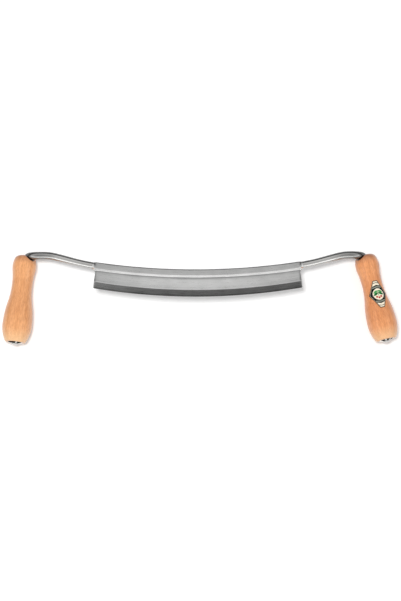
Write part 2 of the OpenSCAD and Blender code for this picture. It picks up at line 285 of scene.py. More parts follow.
# Where the arm leaves the blade, in the level blade's plan, and the ways along and across it there
rootTurn = math.radians(tool["rootAngle"])
ahead = np.array([math.cos(rootTurn), math.sin(rootTurn)])
across = np.array([math.sin(rootTurn), -math.cos(rootTurn)])
rootX = tool["bladeHalf"] + tool["rootOut"]
root = np.array([rootX, tool["backR"] - math.sqrt(tool["backR"] ** 2 - rootX ** 2) - tool["rootR"]])
shoulderX = tool["bladeHalf"] + tool["shoulderR"]
shoulderY = (root[1] + (shoulderX - rootX) * math.tan(rootTurn)
             - (tool["rootR"] + tool["shoulderR"]) / math.cos(rootTurn))
flareSlope = tool["endFlare"] / (tool["bladeW"] - root[1])


def handleAxis(side):
    s = math.radians(tool["splay"][side])
    return np.array([math.sin(s) * math.cos(incline), -math.cos(s) * math.cos(incline), math.sin(incline)])


# Corners of the arm's centre line and the radius of the bend at each, on the right-hand side:
# root, lower bend, crown, dip, elbow and the top of the head
def armCorners(side):
    t = tool
    rise, drop = math.radians(t["riseAngle"]), math.radians(t["dropAngle"])
    riseCut = t["riseR"] * math.tan((rise - rootTurn) / 2)
    crownCut = t["crownR"] * math.tan(rise / 2)
    elbowR = t["armR"] + t["elbowInside"]
    dipWay = np.array([math.cos(drop), 0, -math.sin(drop)])
    elbowCut = elbowR * math.tan(math.acos(dipWay @ handleAxis(side)) / 2)
    bend = root + riseCut * ahead
    crown = bend + (riseCut + t["rise"][side] + crownCut) * np.array([math.cos(rise), math.sin(rise)])
    fall = fromBlade([*crown, t["rootR"]])[2] - elbowHeight
    dipCut = fall / math.sin(drop) - elbowCut - t["dipStraight"]
    dip = crown + [crownCut + t["crown"][side] + dipCut, 0]
    level = [fromBlade([*p, t["rootR"]]) - [bladeO[0], 0, 0] for p in (root, bend, crown, dip)]
    elbow = level[3] + [fall / math.tan(drop), 0, -fall]
    corners = [*level, elbow, elbow + (headBase + t["headH"] - t["endCover"]) * handleAxis(side)]
    return np.array(corners), [t["riseR"], t["crownR"], dipCut / math.tan(drop / 2), elbowR]


# Points of the arc that is tangent to both legs, in place of corner b: so many, or a step apart
def cornerArc(a, b, c, radius, count=None, step=None):
    u, v = unit(b - a), unit(c - b)
    turn = math.acos(np.clip(u @ v, -1, 1))
    inward = unit(v - (v @ u) * u)
    t = np.linspace(0, turn, count or max(8, int(radius * turn / step)))[:, None]
    return b - u * radius * math.tan(turn / 2) + radius * (np.sin(t) * u + (1 - np.cos(t)) * inward)


# Points along the legs between corners, with an arc in place of each corner
def roundedPath(corners, radii, step):
    points = [corners[:1]]
    for i, radius in enumerate(radii):
        arc = cornerArc(*corners[i:i + 3], radius, step=step)
        last = points[-1][-1]
        t = np.linspace(0, 1, max(2, int(np.linalg.norm(arc[0] - last) / step)) + 1)[1:-1, None]
        points += [last * (1 - t) + arc[0] * t, arc]
    last = points[-1][-1]
    t = np.linspace(0, 1, int(np.linalg.norm(corners[-1] - last) / step) + 1)[1:, None]
    points.append(last * (1 - t) + corners[-1] * t)
    return np.vstack(points)


def ringAxes(path):  # tangent, sideways and up; sideways is square to the blade's normal
    tangent = unit(np.gradient(path, axis=0))
    sideways = unit(np.cross(tangent, bladeN))
    return tangent, sideways, np.cross(sideways, tangent)


def ringsAlong(path, radius, turn):  # circles of points round each place of the path
    sideways, up = ringAxes(path)[1:]
    return path[:, None] + np.reshape(radius, (-1, 1, 1)) * spun(turn, sideways[:, None], up[:, None])


def handleAxes(side):  # end-face point, up, sideways and along for a handle, on the right-hand side
    z = handleAxis(side)
    x = unit(np.array([0, 0, 1]) - z[2] * z)
    return armCorners(side)[0][4] - tool["endCover"] * z, x, np.cross(z, x), z


# The forging: blade, arms, tangs and peened heads as one closed skin of rings with equally many
# points. A ring of the blade is its section, and a ring of the arm is a circle.

forging = {
    "backT": 7.0, "landW": 8.5, "stepW": 1.4, "bodyT": 4.3, "bevelT": 3.4, "hollow": 0.35,
    "bevelAngle": 25.0, "edgeT": 0.12, "backRound": 1.2, "lowerRound": 0.5, "landRound": 0.45,
    "footRound": 1.6, "bevelRound": 0.12, "endRound": 0.8, "sharpAngle": 28.0,
    "bladeRings": 121, "underPoints": 24, "stretchFrom": 11.0, "stretchEnd": 1.0,
    "stepRound": 1.2, "widenFrom": 1.5, "widenOver": 2.5,  # by distance from the bar's middle line
    "shoulderEnd": 3.9, "shoulderRings": 16, "shoulderEase": 1.8, "leastTurn": 0.0002, "seamTurn": 0.04,
    "armStep": 1.1, "evenOut": 24.0, "thickenFrom": 14.0, "thickenOver": 30.0,
    "ringsFrom": 0.4, "ringsTo": 0.05,  # the arm's rings keep this far from the shoulder and the head
    "headRise": (0.0, 0.05, 0.3, 0.5, 0.68, 0.82, 0.92, 0.975, 0.997), "headRim": 0.15, "neck": 0.1,
    "hammered": ((0.025, 3, 0.6), (0.015, 7, 1.9)),  # share of the head's radius, waves and their start
}


# Painted light and shade on the forging: how bright each place is painted, where 1 is the steel's
# light colour. It stands in for the reflections and shade the steel shows: light bands, dark edges
# and ends, and shade on the bevel and underside. A row holds pairs of place in mm and brightness.
paintedLight = {
    # Painted bands across the blade: dark back edge, land, dark line under the step, brighter body
    "across": (  # by distance from the back
        (0, 0.05), (0.9, 0.1), (2.0, 0.7), (8.1, 0.72), (8.7, 0.62), (9.6, 0.62), (10.3, 0.42),
        (12.2, 0.76), (20, 0.88), (23.5, 0.93), (25, 1.2)),
    "along": (  # the hollow, by distance to the right of the blade's middle
        (-111, 0.7), (-98, 0.77), (-75, 0.87), (-25, 0.97), (10, 1.0), (60, 0.9), (105, 0.73)),
    "hollowFrom": 10.0, "hollowFade": 3.0,
    # Painted shade on the bevel, darkest at the cutting edge, and its change along the blade
    "bevel": ((24, 0.6), (29.5, 0.5), (31.5, 0.1)),
    "bevelAlong": ((-111, 1.45), (-90, 1.3), (-60, 0.92), (0, 1.0), (50, 0.8), (111, 0.72)),
    # Painted shade at the blade's ends, except on the step, where painted light runs through
    "end": ((0, 0.25), (1.0, 0.5), (2.4, 1.0)),  # by distance from the blade's nearer end
    "lit": ((5.0, 0), (6.5, 1), (10.0, 1), (11.5, 0)),  # where the step keeps its light at the end
    # Painted shade on the underside and on the shoulder next to the blade; the peened head stays plain
    "under": 0.7, "rim": 0.2, "rimLit": 1.1, "rimLeast": 0.6, "head": 1.0, "headRings": 12,
    # The bar, by distance along it from the middle: darker towards the handles
    "bar": ((110, 1.0), (154, 1.05), (165, 0.72), (175, 0.6), (183, 0.45), (188, 0.3)),
    # Painted light on the bar: bright where its skin faces up and a little forward, dark facing back, a
    # little darker facing straight forward
    "litWay": (0.0, -0.5, 0.866), "litFrom": 0.35, "litFade": 0.45, "unlitLevel": 0.16,
    "frontFrom": 0.5, "frontFade": 0.3, "frontLoss": 0.15,
}


def paintedLightAt(row, place):  # brightness at a place, between a row's pairs
    return np.interp(place, *np.transpose(paintedLight[row]))


# The section at the blade's middle, as distance from the back and height, from the lower back
# edge over the top to the cutting edge and home along the flat underside
def bladeSection():
    f = forging
    w = tool["bladeW"]
    bevelW = (f["bevelT"] - f["edgeT"]) / math.tan(math.radians(f["bevelAngle"]))
    low, high = np.array([0, 0.0]), np.array([0, f["backT"]])
    land, foot = np.array([f["landW"], f["backT"]]), np.array([f["landW"] + f["stepW"], f["bodyT"]])
    ridge, edge, under = np.array([w - bevelW, f["bevelT"]]), np.array([w, f["edgeT"]]), np.array([w, 0])
    t = np.linspace(0, 1, 19)[2:-1, None]
    body = foot + t * (ridge - foot) - np.hstack([0 * t, 4 * f["hollow"] * t * (1 - t)])
    between = lambda p, q, n: p + (q - p) * np.linspace(0, 1, n + 2)[1:-1, None]
    lowArc = cornerArc(under, low, high, f["lowerRound"], 5)
    backArc = cornerArc(low, high, land, f["backRound"], 6)
    landArc = cornerArc(high, land, foot, f["landRound"], 6)
    footArc = cornerArc(land, foot, body[0], f["footRound"], 8)
    ridgeArc = cornerArc(body[-1], ridge, edge, f["bevelRound"], 4)
    bevel = np.vstack([between(ridgeArc[-1], edge, 10), edge])
    rows = [
        lowArc, between(lowArc[-1], backArc[0], 4), backArc, between(backArc[-1], landArc[0], 7), landArc,
        between(landArc[-1], footArc[0], 2), footArc, body[2:], ridgeArc, bevel, under[None],
        between(under, lowArc[0], f["underPoints"])]
    isBevel = np.concatenate([np.full(len(row), row is bevel) for row in rows])
    return np.vstack(rows), isBevel, w - bevelW


def widthAt(theta):  # from the back to the edge's own circle, along a ray from the back's centre
    k = tool["backR"] - tool["edgeR"] + tool["bladeW"]
    return k * np.cos(theta) + np.sqrt(tool["edgeR"] ** 2 - (k * np.sin(theta)) ** 2) - tool["backR"]


# How far the shoulder's quarter round stands out, by distance from the bar. It is wide on the
# edge's side of the arm and small on top, where the land ends in a low step.
def shoulderReach(gap, b):
    wide = smoothStep((b - forging["widenFrom"]) / forging["widenOver"])
    r = forging["stepRound"] + (tool["shoulderR"] - forging["stepRound"]) * wide
    left = np.clip(r - gap, 0, r)
    return r - np.sqrt(r * r - left * left), r


# The section carried round the back's centre: a point lies at the back's radius plus its distance
# from the back. The land and the bevel keep their width, and the hollow gives way to the edge's arc.
def bladeRings(section, bevelAt):
    dist, height = section.T
    first, last = forging["stretchFrom"], bevelAt - forging["stretchEnd"]
    stretch = smoothStep((dist - first) / (last - first))

    def planPlace(theta):
        d = dist + (widthAt(theta) - tool["bladeW"]) * stretch
        r = tool["backR"] + d
        return r * np.sin(theta), tool["backR"] - r * np.cos(theta), r

    end = np.full(len(section), tool["bladeHalf"] / tool["backR"])
    for _ in range(6):  # the end is a slanting line that runs out along the bar in the shoulder
        x, y, r = planPlace(end)
        b = (x - root[0]) * across[0] + (y - root[1]) * across[1]
        gap = np.maximum(np.hypot(b, height - tool["rootR"]) - tool["rootR"], 0)
        end = np.arcsin((tool["bladeHalf"] + flareSlope * (shoulderY - y) + shoulderReach(gap, b)[0]) / r)
    x, y, r = planPlace(end)
    outline = np.stack([x, y, height], -1)
    grid = (end - forging["endRound"] / r) * np.linspace(-1, 1, forging["bladeRings"])[:, None]
    x, y, r = planPlace(grid)
    return fromBlade(np.stack([x, y, np.broadcast_to(height, x.shape)], -1)), outline


# From the blade's end outline to the bar: each point closes in on the bar's circle, and runs out
# along the bar by the shoulder's round
def shoulderRings(outline):
    plan = outline[:, :2] - root
    a0, b0, c0 = plan @ ahead, plan @ across, outline[:, 2]
    r = tool["rootR"]
    turn = np.unwrap(np.arctan2(c0 - r, b0))
    turn = np.minimum.accumulate(turn - forging["leastTurn"] * np.arange(len(turn)))
    turn = turn[0] + (turn - turn[0]) * min(1, (2 * math.pi - forging["seamTurn"]) / (turn[0] - turn[-1]))
    b1, c1 = r * np.cos(turn), r + r * np.sin(turn)
    e = (1 - (1 - np.linspace(0, 1, forging["shoulderRings"])) ** forging["shoulderEase"])[1:, None]
    b, c = b0 + (b1 - b0) * e, c0 + (c1 - c0) * e
    gap = np.hypot(b - b1, c - c1)
    out, wide = shoulderReach(gap, b0)
    near = (1 - np.clip(gap / wide, 0, 1)) * e
    base = a0 - shoulderReach(np.hypot(b0 - b1, c0 - c1), b0)[0]
    a = base * (1 - near) + (forging["shoulderEnd"] - wide) * near + out
    a[-1] = forging["shoulderEnd"]
    rings = np.stack([a, b, c], -1)
    rim = np.stack([a0, b0, c0], -1)  # the end's own edge is rounded over
    step = rings[0] - rim
    far = np.linalg.norm(step, axis=1, keepdims=True)
    rim = rim + step / far * np.minimum(forging["endRound"], far / 2)
    rings = np.concatenate([rim[None], rings])
    place = root + rings[..., :1] * ahead + rings[..., 1:2] * across
    return fromBlade(np.concatenate([place, rings[..., 2:]], -1)) - [bladeO[0], 0, 0], turn


# Arm and tang: circles square to the centre line, whose radius follows the distance along it, and
# then the head, a low dome that the hammer left a little uneven
def armRings(side, turn):
    t, f = tool, forging
    corners, radii = armCorners(side)
    path = roundedPath(corners, radii, f["armStep"])
    run = along(path)
    total = run[-1]
    taperAt = along(roundedPath(corners[:5], radii[:3], f["armStep"]))[-1] + t["taperFrom"]
    thick = t["rootR"] + (t["armR"] - t["rootR"]) * smoothStep((run - f["thickenFrom"]) / f["thickenOver"])
    thin = np.clip((run - taperAt) / (total - taperAt - t["tangStraight"]), 0, 1)
    radius = thick + (t["tangR"] - t["armR"]) * thin
    even = turn[0] - fullTurn(len(turn))
    mix = smoothStep((run - f["shoulderEnd"]) / f["evenOut"])[:, None]
    keep = (run > f["shoulderEnd"] + f["ringsFrom"]) & (run < total - t["headH"] - f["ringsTo"])
    rings = ringsAlong(path, radius, turn + (even - turn) * mix)[keep]
    tangent, sideways, up = (v[-1] for v in ringAxes(path))
    spin = spun(even, sideways, up)
    base = corners[4] + (headBase - t["endCover"]) * handleAxis(side)
    domeR = (t["headR"] ** 2 + t["headH"] ** 2) / (2 * t["headH"])
    rise = np.array(f["headRise"])[:, None]
    wide = np.sqrt(domeR ** 2 - (domeR - t["headH"] + rise * t["headH"]) ** 2)
    wide[0] = t["headR"] - f["headRim"]  # the rim is drawn in
    wide = wide * (1 + sum(share * np.sin(waves * even + start) for share, waves, start in f["hammered"]))
    dome = base + tangent * rise[..., None] * t["headH"] + wide[..., None] * spin
    seat = base + (t["tangR"] + f["neck"]) * spin
    return np.concatenate([rings, seat[None], dome])


def makeForging():
    section, isBevel, bevelAt = bladeSection()
    blade, outline = bladeRings(section, bevelAt)
    shoulder, turn = shoulderRings(outline)
    left, right = (fromRight(np.concatenate([shoulder, armRings(side, turn)]), side)
                   for side in ("left", "right"))
    points = np.concatenate([left[::-1], blade, right])
    rows, columns = points.shape[:2]
    piece = meshFrom("forgedBlade", points.reshape(-1, 3), tubeFaces(rows, columns), forging["sharpAngle"])

    # Materials: 0 ground faces, which end halfway into the shoulders, 1 bevel, 2 forged bar
    first, last = len(left), len(left) + len(blade)
    index = np.full((rows - 1, columns), 2)
    index[first - len(shoulder) // 2:last + len(shoulder) // 2 - 1] = 0
    index[first:last - 1, isBevel] = 1
    piece.data.polygons.foreach_set("material_index", np.append(index.ravel(), [2, 2]).astype(np.int32))

    # Metres along the tool and round its section, for marks that follow the metal
    length = along(points.mean(1))
    girth = along(section)
    flow = np.stack(np.broadcast_arrays((length - length[rows // 2])[:, None], girth, 0.0), -1)
    addAttribute(piece.data, "flow", flow * mm)

    # Painted light and shade on the blade: its brightness goes by distance from its back and along
    # it, and is low at its ends
    x = points[first:last, :, 0] - bladeO[0]
    fromBack, fromEnd = section[:, 0], np.abs(x[[0, -1]]).max() - np.abs(x)
    top = np.arange(columns) < columns - 1 - forging["underPoints"]
    hollow = smoothStep((fromBack - paintedLight["hollowFrom"]) / paintedLight["hollowFade"])[None] * top
    lit = np.where(top, paintedLightAt("lit", fromBack), 0)
    ground = np.where(top, paintedLightAt("across", fromBack), paintedLight["under"])[None]
    ground = ground * (1 - hollow + hollow * paintedLightAt("along", x)) * np.maximum(paintedLightAt("end", fromEnd), lit)
    blade = np.where(isBevel, paintedLightAt("bevel", fromBack) * paintedLightAt("bevelAlong", x), ground)

    # The bar's painted light goes by the way its skin faces, bright facing up and a little forward
    # and dark facing back, and by distance along it, and starts as dark as the blade ends
    way = np.empty(points.size)
    piece.data.vertices.foreach_get("normal", way)
    way = way.reshape(points.shape)
    facingLit = smoothStep((way @ paintedLight["litWay"] - paintedLight["litFrom"]) / paintedLight["litFade"])
    front = smoothStep((-way[..., 1] - paintedLight["frontFrom"]) / paintedLight["frontFade"])
    shine = (paintedLight["unlitLevel"] + (1 - paintedLight["unlitLevel"]) * facingLit) * (1 - paintedLight["frontLoss"] * front)
    shine = shine * paintedLightAt("bar", np.abs(length - length[rows // 2])[:, None])
    shine[:paintedLight["headRings"]] = shine[-paintedLight["headRings"]:] = paintedLight["head"]
    shine[first:last] = blade
    # Painted shade on the shoulder: its rings start dark by the blade and brighten towards the bar, except
    # where the step's painted light runs through
    count = forging["shoulderRings"] // 2
    near = np.linspace(paintedLight["rim"], 1, count)[:, None]
    near = near + (paintedLight["rimLit"] - near) * lit
    for rings in (slice(first - 1, first - 1 - count, -1), slice(last, last + count)):
        shine[rings] = near * np.maximum(shine[rings], paintedLight["rimLeast"])
    addAttribute(piece.data, "shine", np.stack([shine] * 3, -1))
    return piece


# Steel. The blade is ground and polished along its length, so its faces have a satin lie of fine
# marks from end to end, drawn coarser than real ones, which would be lost in the picture. The
# bevel's marks are finer. Its colour is darker, partly for its finer finish and partly painted shade
# for the dark reflection it shows. The bar keeps a smooth, mottled skin. Each colour runs from dark
# to light by the painted light and shade in the shine attribute. Marks are given by length and
# width in mm.

steel = {
    "ground": {"dark": "#404040", "light": "#e4e4e3", "contrast": 0.5, "roughness": 0.3,
               "marks": (25.0, 1.0), "bump": 0.12},
    "bevel": {"dark": "#3a3a3a", "light": "#999998", "contrast": 0.6, "roughness": 0.3,
              "marks": (16.67, 0.7143), "bump": 0.15},
    "bar": {"dark": "#4a4a4a", "light": "#c9c8c6", "contrast": 0.35, "roughness": 0.2,
            "marks": (11.11, 3.846), "bump": 0.2},
    "markDepth": 0.06, "smoother": 0.05, "rougher": 0.07, "cloudSize": 14.286, "cloudShare": 0.5,
}


def steelMaterial(name, look):
    material, tree, shader = newMaterial(name, look["light"], metallic=1.0, roughness=look["roughness"])
    flow = addNode(tree, "Attribute", {".attribute_name": "flow"})
    stroke = addNode(tree, "Mapping", {"Scale": (*perMetre(look["marks"]), 0.0)},
                     {"Vector": flow.outputs["Vector"]})
    lines = addNode(tree, "TexNoise", {"Scale": 1.0, "Detail": 5.0, "Roughness": 0.65}, {"Vector": stroke})
    coords = addNode(tree, "TexCoord")
    cloud = addNode(tree, "TexNoise", {"Scale": perMetre(steel["cloudSize"]), "Detail": 3.0},
                    {"Vector": coords.outputs["Object"]})
    both = addNode(tree, "Math", {".operation": "MULTIPLY_ADD", 1: steel["cloudShare"]},
                   {0: cloud, 2: lines})
    # The painted light and shade of the shine attribute moves each place between the dark and light colours
    shine = addNode(tree, "Attribute", {".attribute_name": "shine"})
    level = addNode(tree, "Math", {".operation": "MULTIPLY_ADD", 1: look["contrast"]},
                    {0: both, 2: shine.outputs["Fac"]})
    middle = 0.5 * (1 + steel["cloudShare"]) * look["contrast"]  # a noise lies about 0.5
    tone = addNode(tree, "MapRange", {1: middle, 2: middle + 1}, {0: level})
    colour = addNode(tree, "Mix",
                     {".data_type": "RGBA", 6: linearColour(look["dark"]), 7: linearColour(look["light"])},
                     {0: tone})
    least, most = look["roughness"] - steel["smoother"], look["roughness"] + steel["rougher"]
    rough = addNode(tree, "MapRange", {1: 0.3, 2: 0.8, 3: least, 4: most}, {0: lines})
    relief = addNode(tree, "Bump", {"Strength": look["bump"], "Distance": steel["markDepth"] * mm},
                     {"Height": lines})
    link(tree, shader, {"Base Color": colour.outputs[2], "Roughness": rough, "Normal": relief})
    return material


# Handles: the profile turned about its axis, then cut by the shape of the arm and tang, a gap wider

def turnedSolid(name, profile, columns, side):  # profile from pole to pole, as distance and radius
    start, x, y, z = handleAxes(side)
    body = start + profile[1:-1, :1, None] * z + profile[1:-1, 1:, None] * spun(fullTurn(columns), x, y)
    points = np.vstack([start + profile[0, 0] * z, body.reshape(-1, 3), start + profile[-1, 0] * z])
    rows, c = len(profile) - 2, np.arange(columns)
    n, last = (c + 1) % columns, (len(profile) - 2) * columns + 1
    firstFan = np.stack([0 * c, c + 1, n + 1], -1)
    lastFan = np.stack([0 * c + last, last - columns + n, last - columns + c], -1)
    faces = (gridFaces(rows, columns) + 1).reshape(-1, 4).tolist() + firstFan.tolist() + lastFan.tolist()
    return meshFrom(name, fromRight(points, side), faces)


def saddleCutter(side):  # the arm's dip and elbow and the tang, fatter by their gaps
    corners, radii = armCorners(side)
    path = roundedPath(corners, radii, wood["cutterStep"])
    past, columns = wood["cutterPast"], wood["cutterColumns"]
    path = np.vstack([path[along(path) > along(corners[:3])[-1] + past], path[-1] + past * handleAxis(side)])
    run = along(path)
    tangEnd = run[-1] - past
    taperAt = tangEnd - np.linalg.norm(corners[5] - corners[4]) + tool["taperFrom"]
    thin = np.clip((run - taperAt) / (tangEnd - taperAt - tool["tangStraight"]), 0, 1)
    arm, tang = tool["armR"] + wood["saddleGap"], tool["tangR"] + wood["tangGap"]
    rings = ringsAlong(path, arm + (tang - arm) * thin, fullTurn(columns))
    return meshFrom(side + "Saddle", fromRight(rings.reshape(-1, 3), side), tubeFaces(len(path), columns))


# 1 where painted black shade lies in the seam of wood and cap, by angle from the top, with soft ends
def seamPatches(side, turn):
    over, fade = (turn + math.pi) % (2 * math.pi) - math.pi, cap["patchFade"]
    return sum(smoothStep((over - first) / fade + 0.5) * smoothStep((last - over) / fade + 0.5)
               for first, last in cap["patches"][side])


def makeHandle(side):
    # From pole to pole: the flat end face, the profile and the cap's seat
    outline = profilePoints()
    seatR, seatAt = cap["r"] + cap["seatGap"], wood["length"] - cap["seatDepth"]
    face = outline[0, 1] * np.linspace(0, 1, 5)[:-1, None]
    seat = [[wood["length"], seatR + wood["lipChamfer"]], [wood["length"] - wood["lipChamfer"], seatR],
            [seatAt, seatR], [seatAt, seatR * cap["seatRing"]], [seatAt, 0]]
    profile = np.vstack([np.hstack([0 * face, face]), outline, seat])
    piece = turnedSolid(side + "Beech", profile, wood["columns"], side)
    cutter = saddleCutter(side)
    cut = piece.modifiers.new("saddle", "BOOLEAN")
    cut.operation, cut.solver, cut.object = "DIFFERENCE", "MANIFOLD", cutter
    applyModifiers(piece, wood["sharpAngle"])
    bpy.data.objects.remove(cutter)
    soften = piece.modifiers.new("soften", "BEVEL")
    soften.width, soften.segments = wood["soften"] * mm, 2
    soften.limit_method, soften.angle_limit = "ANGLE", math.radians(wood["softenAngle"])
    applyModifiers(piece, wood["sharpAngle"])
    piece.data.materials.clear()  # the cut leaves an empty slot

    # The wood's own coordinates: sideways, up and along the grain
    start, x, y, z = handleAxes(side)
    own = toRight(meshPoints(piece.data), side) - start
    sideways, up, grain = own @ y, own @ x, own @ z
    addAttribute(piece.data, "grain", np.stack([sideways, up, grain], -1) * mm)

    # Painted shade: the wood is dark close to the arm's centre line, in the gap round the arm, and
    # the lip beside the cap is dark where the seam under it is in shade
    corners, radii = armCorners(side)
    path = roundedPath(corners[:5], radii[:3], 1.0)
    path = path[along(path) > along(corners[:3])[-1]]
    apart = np.linalg.norm((own + start)[:, None] - path, axis=2).min(1)
    burnt = smoothStep((tool["armR"] + wood["saddleGap"] + beech["shadeRim"] - apart) / beech["shadeRim"])
    lip = smoothStep((seatR + beech["lipShade"] - np.hypot(sideways, up)) / beech["lipShade"])
    lip = lip * (grain > seatAt - beech["lipShade"]) * seamPatches(side, np.arctan2(sideways, up))
    addAttribute(piece.data, "burnt", np.stack([np.maximum(burnt, lip)] * 3, -1))
    return piece


# Steamed beech under a thin clear lacquer: warm and even, with faint stripes of growth rings and
# short dark ray flecks that run with the grain. The end face is darker, as end grain is. The tail
# near the cap is painted paler, a painted highlight, and the gaps round the arm and beside the cap
# get painted shade.

beech = {
    # Each handle is cut from its own place in the pattern, in mm
    "left": {"pale": "#fcb97f", "mid": "#d9935c", "fleck": "#b06a38", "end": "#a0623b",
             "cutFrom": (110.0, 77.0, 143.0)},
    "right": {"pale": "#f7ab71", "mid": "#d3844e", "fleck": "#9c5930", "end": "#824a30",
              "cutFrom": (370.0, 259.0, 481.0)},
    # Sizes in mm, the last one along the grain
    "ringSize": (1.852, 4.545, 62.5), "mottleSize": (1.25, 1.25, 5.882), "mottleShare": 0.5,
    "toneRange": (0.31, 0.65),  # of the mixed noise, from mid to pale
    "fleckSize": (0.7692, 0.7692, 5.882), "fleckRange": (0.34, 0.12), "fleckShare": 0.5,
    # Where the grip is darker, by share of the handle's length
    "grip": ((0, 0), (0.2, 0.1), (0.36, 0.9), (0.66, 1.0), (0.84, 0.1), (1, 0)), "gripTone": 0.3,
    # The tail's paler colour is a painted highlight near the cap; the end face is darker as end grain
    "tail": "#ffd6a2", "tailHighlightRange": (82.0, 94.0), "tailHighlightShare": 0.5, "endRange": (10.0, 1.0), "endShare": 0.8,
    # Painted shade: its colour, and how far it reaches round the arm's saddle and beside the cap, where the
    # gaps are in shade
    "shadeColour": "#3a2014", "shadeRim": 1.2, "lipShade": 2.0, "ringDepth": 0.1,
    "lacquer": {"Coat_Weight": 0.7, "Coat_Roughness": 0.3, "Coat_IOR": 1.6, "Specular_IOR_Level": 0.4},
}


def beechMaterial(side):
    look = beech[side]
    material, tree, shader = newMaterial(
        side + "SteamedBeech", look["mid"], metallic=0.0, roughness=0.45, **beech["lacquer"])
    grain = addNode(tree, "Attribute", {".attribute_name": "grain"})
    height = addNode(tree, "SeparateXYZ", {}, {0: grain.outputs["Vector"]}).outputs["Z"]
    place = addNode(tree, "Mapping", {"Location": np.multiply(look["cutFrom"], mm)},
                    {"Vector": grain.outputs["Vector"]})
    ringMap, mottleMap, fleckMap = (
        addNode(tree, "Mapping", {"Scale": perMetre(beech[size])}, {"Vector": place})
        for size in ("ringSize", "mottleSize", "fleckSize"))

    # Growth rings mixed with a fine mottle, and darker in the grip
    rings = addNode(tree, "TexNoise", {"Scale": 1.0, "Detail": 4.0, "Roughness": 0.6, "Distortion": 0.4},
                    {"Vector": ringMap})
    mottle = addNode(tree, "TexNoise", {"Scale": 1.0, "Detail": 3.0}, {"Vector": mottleMap})
    mixed = addNode(tree, "Mix", {0: beech["mottleShare"]}, {2: rings, 3: mottle})
    least, most = beech["toneRange"]
    ringTone = addNode(tree, "MapRange", {1: least, 2: most}, {0: mixed})
    share = addNode(tree, "MapRange", {2: wood["length"] * mm}, {0: height})
    gripDark = addNode(tree, "FloatCurve", {"curve": beech["grip"]}, {"Value": share})
    tone = addNode(tree, "Math", {".operation": "MULTIPLY_ADD", ".use_clamp": True, 1: -beech["gripTone"]},
                   {0: gripDark, 2: ringTone})
    base = addNode(tree, "Mix", {".data_type": "RGBA", 6: linearColour(look["mid"]),
                                 7: linearColour(look["pale"])}, {0: tone})

    # Over it lie the flecks, the tail's painted highlight, the end face and the painted shade of the
    # gaps, each a share of its colour
    cells = addNode(tree, "TexVoronoi", {"Scale": 1.0}, {"Vector": fleckMap})
    burnt = addNode(tree, "Attribute", {".attribute_name": "burnt"})
    layers = [  # where it is measured, from none of it to all of it, its share and its colour
        (cells.outputs["Distance"], beech["fleckRange"], beech["fleckShare"], look["fleck"]),
        (height, np.multiply(beech["tailHighlightRange"], mm), beech["tailHighlightShare"], beech["tail"]),
        (height, np.multiply(beech["endRange"], mm), beech["endShare"], look["end"]),
        (burnt.outputs["Fac"], (0.0, 1.0), 1.0, beech["shadeColour"]),
    ]
    colour = base.outputs[2]
    for measure, (none, full), most, hexText in layers:
        cover = addNode(tree, "MapRange", {1: none, 2: full, 3: 0.0, 4: most}, {0: measure})
        colour = addNode(tree, "Mix", {".data_type": "RGBA", 7: linearColour(hexText)},
                         {0: cover, 6: colour}).outputs[2]
    relief = addNode(tree, "Bump", {"Strength": 0.15, "Distance": beech["ringDepth"] * mm},
                     {"Height": rings})
    link(tree, shader, {"Base Color": colour, "Normal": relief})
    return material


# Caps: a pressed disc with a rolled rim and a low crown, bored for the tang. Its closed profile is
# spun round the handle's axis: an arc for the crown, a small round for the rim and a flat seat.

def makeCap(side):
    start, x, y, z = handleAxes(side)
    bore, rimR = tool["tangR"] + cap["boreGap"], cap["r"] - cap["rim"]
    r = np.linspace(bore + cap["boreRound"], rimR, 26)
    crown = np.stack([capTop - capDomeR + np.sqrt(capDomeR ** 2 - r ** 2), r], -1)
    a = np.radians(np.linspace(70, -90, 10))[1:-1, None]
    roll = [capBase + cap["thick"] - cap["rim"], rimR] + cap["rim"] * np.hstack([np.sin(a), np.cos(a)])
    profile = np.vstack([[capTop - cap["boreLip"], bore], crown, roll, [capBase, rimR], [capBase, bore]])
    turn = fullTurn(cap["columns"])
    points = start + profile[:, :1, None] * z + profile[:, 1:, None] * spun(turn, x, y)
    loop = np.concatenate([points, points[:1]])  # the profile is closed, so its last row is its first
    faces = gridFaces(len(loop), cap["columns"]).reshape(-1, 4) % (len(points) * cap["columns"])
    piece = meshFrom(side + "NickelCap", fromRight(points.reshape(-1, 3), side), faces.tolist(),
                     cap["sharpAngle"])

    # Painted shade: black patches under the wood's lip, along the upper part of the rim, where the seam is
    # in shade
    dark = smoothStep((profile[:, 1:] - cap["seamShadeFrom"]) / cap["seamShadeFade"]) * seamPatches(side, turn)
    addAttribute(piece.data, "tarnish", np.stack([dark] * 3, -1))
    return piece


def nickelMaterial():  # bright nickel plate on pressed steel: nearly a mirror, faintly clouded
    material, tree, shader = newMaterial("nickelPlatedSteel", cap["nickel"], metallic=1.0, roughness=0.12)
    # Painted seam shade: where it lies the plate turns black and matt
    tarnish = addNode(tree, "Attribute", {".attribute_name": "tarnish"})
    colour = addNode(tree, "Mix",
                     {".data_type": "RGBA", 6: linearColour(cap["nickel"]), 7: linearColour(cap["tarnish"])},
                     {0: tarnish.outputs["Fac"]})
    clean = addNode(tree, "MapRange", {3: 1.0, 4: 0.0}, {0: tarnish.outputs["Fac"]})
    matt = addNode(tree, "MapRange", {3: 0.5, 4: 0.0}, {0: tarnish.outputs["Fac"]})
    coords = addNode(tree, "TexCoord")
    cloud = addNode(tree, "TexNoise", {"Scale": perMetre(cap["cloudSize"]), "Detail": 3.0},
                    {"Vector": coords.outputs["Object"]})
    rough = addNode(tree, "MapRange", {1: 0.3, 2: 0.7, 3: 0.08, 4: 0.18}, {0: cloud})
    link(tree, shader, {"Base Color": colour.outputs[2], "Metallic": clean,
                        "Specular IOR Level": matt, "Roughness": rough})
    return material


